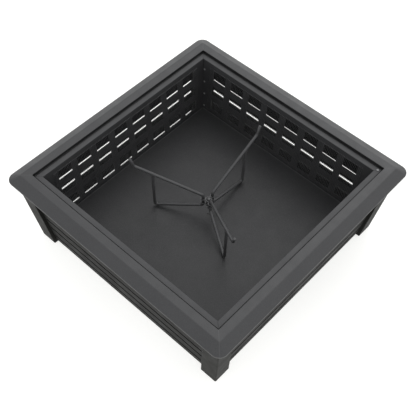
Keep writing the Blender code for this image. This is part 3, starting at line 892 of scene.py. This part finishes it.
def make_wings(rod_material, weld_material, tip_material):
    head_z = top_rod_z(LEG_HEAD_RADIUS)
    corners = [TIP, TOP_BEND, HUB_TOP_BEND, HUB_LOW_BEND, FOOT_BEND,
               (LEG_HEAD_RADIUS, head_z - ROD_RADIUS)]
    route = rounded_route([(radius - HINGE_RADIUS, 0.0, z) for radius, z in corners],
                          ROD_BEND_RADIUS)
    tip_way = (route[0] - route[1]).normalized()
    cap_turn = tip_way.to_track_quat("Z", "Y").to_matrix().to_4x4()
    for side, azimuth in WINGS.items():
        hinge = (Matrix.Translation((0.0, 0.0, GRATE_BASE_Z))
                 @ Matrix.Rotation(math.radians(azimuth), 4, "Z")
                 @ Matrix.Translation((HINGE_RADIUS, 0.0, 0.0)))
        body = side + "_wing"
        rod = tube("%s_rod" % body, route, ROD_RADIUS, ROD_SIDES, hinge)
        finished(rod, body, rod_material, "grate_rod_coat", "wing_" + side)
        bead_place = hinge @ Matrix.Translation((LEG_HEAD_RADIUS - HINGE_RADIUS, 0.0,
                                                 head_z - ROD_RADIUS))
        bead = weld_bead("%s_weld" % body, bead_place)
        finished(bead, body, weld_material, "grate_rod_coat")
        cap_place = hinge @ Matrix.Translation(route[0]) @ cap_turn
        cap = turned("%s_tip" % body, TIP_CAP, cap_place, 28)
        finished(cap, body, tip_material, "plated_steel")


def softened_copy(cad_node, name, edge):
    """The CAD node's own shape with clean faces and rounded edges."""
    bm = bmesh.new()
    bm.from_mesh(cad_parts[cad_node].data)
    bmesh.ops.remove_doubles(bm, verts=bm.verts, dist=0.000001)
    bmesh.ops.dissolve_limit(bm, angle_limit=math.radians(1.0), verts=bm.verts, edges=bm.edges)
    return settle(link(name, mesh_from_bmesh(name, bm)), edge)


def make_hub(rod_material, pin_material):
    for cad_node, name in (("hub_top_plate", "hub_plate_upper"),
                           ("hub_low_plate", "hub_plate_lower"),
                           ("hub_spacer", "hub_spacer_sleeve")):
        finished(softened_copy(cad_node, name, HUB_EDGE), "grate_hub", rod_material,
                 "grate_rod_coat", cad_node)
    nut = softened_copy("hub_nut", "hub_hex_nut", NUT_EDGE)
    finished(nut, "grate_hub", pin_material, "plated_steel", "hub_nut")
    low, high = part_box("hub_pin")
    head_radius = (high.x - low.x) / 2
    head_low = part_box("hub_top_plate")[1].z + GAP
    head = [(radius, head_low + z) for radius, z in
            dome_profile(head_radius, high.z - head_low, PIN_HEAD_RIM)[:-1]]
    shank = [(PIN_RADIUS, head_low), (PIN_RADIUS, low.z + PIN_CHAMFER),
             (PIN_RADIUS - PIN_CHAMFER, low.z), (0.0, low.z)]
    pin = turned("hub_pivot_pin", head + shank, Matrix.Identity(4))
    settle(pin)
    finished(pin, "grate_hub", pin_material, "plated_steel", "hub_pin")


# ---------------------------------------------------------------- studio and camera

def under_pit_painted_shadow(tree, coords):
    """1 on the ground below the bowl, where a shadow is painted dark."""
    return value_range(tree, square_half(tree, coords), 1.0, 0.0, SHADE_INNER_HALF, SHADE_OUTER_HALF)


def make_stage():
    bm = bmesh.new()
    bmesh.ops.create_grid(bm, x_segments=1, y_segments=1, size=GROUND_SIZE)
    ground = link("studio_floor", mesh_from_bmesh("studio_floor", bm))
    material, tree, shader = new_material("studio_floor_paint")
    coords = node(tree, "ShaderNodeTexCoord").outputs["Object"]
    tone = value_range(tree, noise_node(tree, coords, *GROUND_CLOUDS), 0.0, 1.0)
    pale = blend_colours(tree, tone, GROUND_DARK, GROUND_LIGHT)
    # Painted shadow below the bowl, which also takes the glow away there
    pale = blend_colours(tree, under_pit_painted_shadow(tree, coords), pale, GROUND_SHADE)
    tree.links.new(pale, shader.inputs["Base Color"])
    tree.links.new(pale, shader.inputs["Emission Color"])
    shader.inputs["Emission Strength"].default_value = GROUND_GLOW
    shader.inputs["Roughness"].default_value = 0.9
    ground.data.materials.append(material)


def make_lights():
    world = bpy.data.worlds.new("studio")
    bpy.context.scene.world = world
    world.use_nodes = True
    background = world.node_tree.nodes["Background"]
    background.inputs["Color"].default_value = SKY_COLOUR
    background.inputs["Strength"].default_value = SKY_STRENGTH
    key = bpy.data.lights.new("key", "SUN")
    key.energy = SUN_ENERGY
    key.angle = SUN_ANGLE
    lamp = bpy.data.objects.new("key", key)
    bpy.context.scene.collection.objects.link(lamp)
    lamp.rotation_euler = Vector(SUN_FROM).to_track_quat("Z", "Y").to_euler()


def make_camera():
    azimuth = math.radians(CAMERA_AZIMUTH)
    elevation = math.radians(CAMERA_ELEVATION)
    back = Vector((math.sin(azimuth) * math.cos(elevation),
                   -math.cos(azimuth) * math.cos(elevation), math.sin(elevation)))
    right = Vector((math.cos(azimuth), math.sin(azimuth), 0.0))
    up = back.cross(right)
    level = Matrix((right, up, back)).transposed().to_4x4()
    roll = Matrix.Rotation(math.radians(CAMERA_ROLL), 4, "Z")
    camera = bpy.data.objects.new("camera", bpy.data.cameras.new("camera"))
    bpy.context.scene.collection.objects.link(camera)
    camera.data.lens = CAMERA_LENS_MM
    camera.data.sensor_width = CAMERA_SENSOR_MM
    place = Matrix.Translation(Vector(CAMERA_TARGET) + back * CAMERA_DISTANCE)
    camera.matrix_world = place @ level @ roll
    bpy.context.scene.camera = camera
    bpy.context.scene.view_settings.view_transform = "Standard"


def make_object():
    rim_coat = coated_steel("charcoal_rim_coat_look",
                            dark=(0.016, 0.016, 0.0170), light=(0.020, 0.020, 0.0210),
                            fleck_and_highlight_colour=(0.10, 0.10, 0.10), rough=(0.40, 0.52), grain=MEDIUM_GRAIN,
                            zones=((rim_mitre_seam_highlight, MITRE_HIGHLIGHT_COLOUR), (rim_pocket_painted_shade, POCKET_SHADE_COLOUR)),
                            shine=0.65)
    # Painted shade: the legs and panels wear the rim's charcoal coat, in copies made darker than the
    # rim's
    shaded_leg_coat = coated_steel("charcoal_leg_coat_shaded_look",
                            dark=(0.012, 0.012, 0.011), light=(0.017, 0.017, 0.0155),
                            fleck_and_highlight_colour=(0.05, 0.05, 0.047), rough=(0.42, 0.54), grain=MEDIUM_GRAIN,
                            shine=0.035)
    shaded_panel_coat = coated_steel("charcoal_panel_coat_shaded_look",
                              dark=(0.010, 0.010, 0.009), light=(0.014, 0.014, 0.013),
                              fleck_and_highlight_colour=(0.05, 0.05, 0.047), rough=(0.42, 0.54),
                              grain=MEDIUM_GRAIN, zones=((panel_inside_painted_shade, PANEL_INSIDE_SHADE_COLOUR),),
                              shine=0.035)
    lip_coat = coated_steel("slot_lip_coat_look",
                            dark=(0.012, 0.012, 0.012), light=(0.018, 0.018, 0.018),
                            fleck_and_highlight_colour=(0.03, 0.03, 0.03), rough=(0.48, 0.60), grain=MEDIUM_GRAIN,
                            shine=0.08)
    wall_coat = coated_steel("matt_bowl_coat_look",
                             dark=(0.024, 0.024, 0.025), light=(0.032, 0.032, 0.033),
                             fleck_and_highlight_colour=(0.07, 0.07, 0.07), rough=(0.52, 0.66),
                             grain=COARSE_GRAIN, zones=((wall_ledge_painted_light, LEDGE_LIGHT_COLOUR),))
    floor_coat = coated_steel("bowl_floor_coat_look",
                              dark=(0.017, 0.017, 0.018), light=(0.022, 0.022, 0.022),
                              fleck_and_highlight_colour=(0.10, 0.10, 0.10), rough=(0.46, 0.53),
                              grain=COARSE_GRAIN, zones=((floor_edge_painted_highlight, FLOOR_EDGE_HIGHLIGHT_COLOUR),),
                              shine=0.42)
    rod_coat = coated_steel("grate_rod_coat_look",
                            dark=(0.040, 0.040, 0.041), light=(0.056, 0.056, 0.056),
                            fleck_and_highlight_colour=(0.14, 0.14, 0.14), rough=(0.30, 0.42), grain=FINE_GRAIN)
    weld_coat = coated_steel("grate_weld_look",
                             dark=(0.030, 0.030, 0.031), light=(0.050, 0.050, 0.050),
                             fleck_and_highlight_colour=(0.12, 0.12, 0.12), rough=(0.35, 0.55), grain=WELD_GRAIN)
    fixing_steel = coated_steel("fixing_steel_look",
                                dark=(0.15, 0.15, 0.15), light=(0.24, 0.24, 0.24),
                                fleck_and_highlight_colour=(0.40, 0.40, 0.40), rough=(0.30, 0.42),
                                grain=FINE_GRAIN)
    pin_steel = bright_steel("plated_steel_look",
                             dark=(0.07, 0.07, 0.07), light=(0.14, 0.14, 0.14), rough=(0.42, 0.56))
    screen_width = 2 * SCREEN_HALF_LENGTH
    screen_height = (SCREEN_HIGH.z - SCREEN_LOW.z) * math.hypot(1.0, WALL_SLOPE)
    wire = woven_wire("blackened_wire_look", screen_height / 2)

    make_rim(rim_coat)
    make_legs(shaded_leg_coat)
    make_side_panels(shaded_panel_coat, lip_coat)
    make_bowl_walls(wall_coat)
    make_screens(wire, screen_width, screen_height)
    make_floor(floor_coat)
    make_fixings(fixing_steel)
    make_wings(rod_coat, weld_coat, pin_steel)
    make_hub(rod_coat, pin_steel)


make_object()
make_stage()
make_lights()
make_camera()
